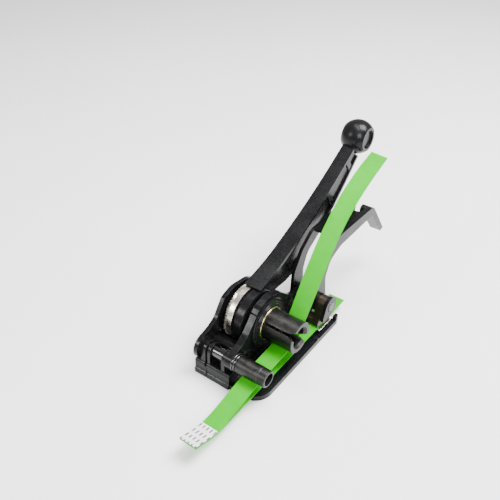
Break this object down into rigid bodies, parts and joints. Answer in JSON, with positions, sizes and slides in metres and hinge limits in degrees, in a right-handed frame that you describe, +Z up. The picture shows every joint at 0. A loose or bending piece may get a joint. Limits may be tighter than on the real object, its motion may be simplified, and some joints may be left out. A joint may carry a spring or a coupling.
{
  "type": "strapping tensioner tool",
  "caption": "Hand strapping tensioner: a windlass with a ratchet lever on a hinged frame over a flat base, a strap gripper with its release lever, and a length of plastic strap threaded in.",
  "frame": {"origin": "on the flat sole of the base, directly under the windlass axis", "axes": "+Z up; +X along the windlass axis, from the ratchet side to the open strap side; +Y to the rear, where the ball handle is"},
  "size_m": [0.085, 0.3722, 0.181],
  "materials": {
    "black_paint": "gloss",
    "dark_steel": "satin",
    "spring_steel": "satin",
    "bright_steel": "polished",
    "brown_steel": "satin",
    "zinc_steel": "plated",
    "brass": "satin",
    "green_strap": "embossed",
    "white_film": "satin"
  },
  "bodies": {
    "base": {"base_plate": "black_paint", "grip_insert": "bright_steel", "insert_screw_left": "dark_steel", "insert_screw_right": "dark_steel", "hinge_pin": "dark_steel", "hinge_sleeve": "bright_steel", "roller_washer_inner": "bright_steel", "roller_washer_outer": "bright_steel", "strap_lower": "green_strap", "strap_upper": "green_strap", "strap_band": "white_film"},
    "roller": {"strap_roller": "dark_steel", "roller_bush": "bright_steel"},
    "frame": {"frame_left_cheek": "black_paint", "frame_right_cheek": "black_paint", "frame_front_bridge": "black_paint", "frame_rear_bridge": "black_paint", "frame_screw_front": "dark_steel", "frame_screw_rear": "dark_steel", "windlass_bushing": "brass", "shaft_bushing": "brass", "holding_pawl_pin": "dark_steel", "holding_pawl_spring": "spring_steel", "gripper_pin": "dark_steel", "gripper_pin_clip": "spring_steel", "gripper_spring": "spring_steel", "strap_tail": "green_strap"},
    "windlass": {"windlass": "dark_steel", "ratchet_wheel": "zinc_steel", "wheel_key": "dark_steel", "shaft_collar": "bright_steel", "shaft_clip": "spring_steel", "hub_washer": "bright_steel", "wheel_washer": "bright_steel"},
    "lever": {"lever": "black_paint", "drive_pawl_pin": "dark_steel", "drive_pawl_spring": "spring_steel"},
    "drive_pawl": {"drive_pawl": "dark_steel"},
    "holding_pawl": {"holding_pawl": "dark_steel"},
    "gripper": {"release_lever": "black_paint", "gripper_jaw": "brown_steel", "gripper_side_plate": "black_paint"}
  },
  "joints": [
    {"name": "roller_spin", "type": "hinge", "parent": "base", "child": "roller", "pos_m": [0, -0.055, 0.03], "axis": [1, 0, 0], "continuous": true},
    {"name": "frame_lift", "type": "hinge", "parent": "base", "child": "frame", "pos_m": [0, -0.055, 0.03], "axis": [1, 0, 0], "range_deg": [0, 12]},
    {"name": "windlass_spin", "type": "hinge", "parent": "frame", "child": "windlass", "pos_m": [0, 0, 0.041], "axis": [1, 0, 0], "continuous": true},
    {"name": "lever_swing", "type": "hinge", "parent": "frame", "child": "lever", "pos_m": [0, 0, 0.041], "axis": [1, 0, 0], "range_deg": [0, 100]},
    {"name": "drive_pawl_swing", "type": "hinge", "parent": "lever", "child": "drive_pawl", "pos_m": [0, 0.036, 0.07], "axis": [1, 0, 0], "range_deg": [-3, 0], "stiffness_Nm_per_rad": 0.2, "springref_deg": 11.46},
    {"name": "holding_pawl_swing", "type": "hinge", "parent": "frame", "child": "holding_pawl", "pos_m": [0, 0.04, 0.0375], "axis": [1, 0, 0], "range_deg": [-8, 0], "stiffness_Nm_per_rad": 0.2, "springref_deg": 11.46},
    {"name": "gripper_swing", "type": "hinge", "parent": "frame", "child": "gripper", "pos_m": [0, 0.0685, 0.031], "axis": [1, 0, 0], "range_deg": [-12, 0], "stiffness_Nm_per_rad": 2, "springref_deg": 20.05}
  ]
}
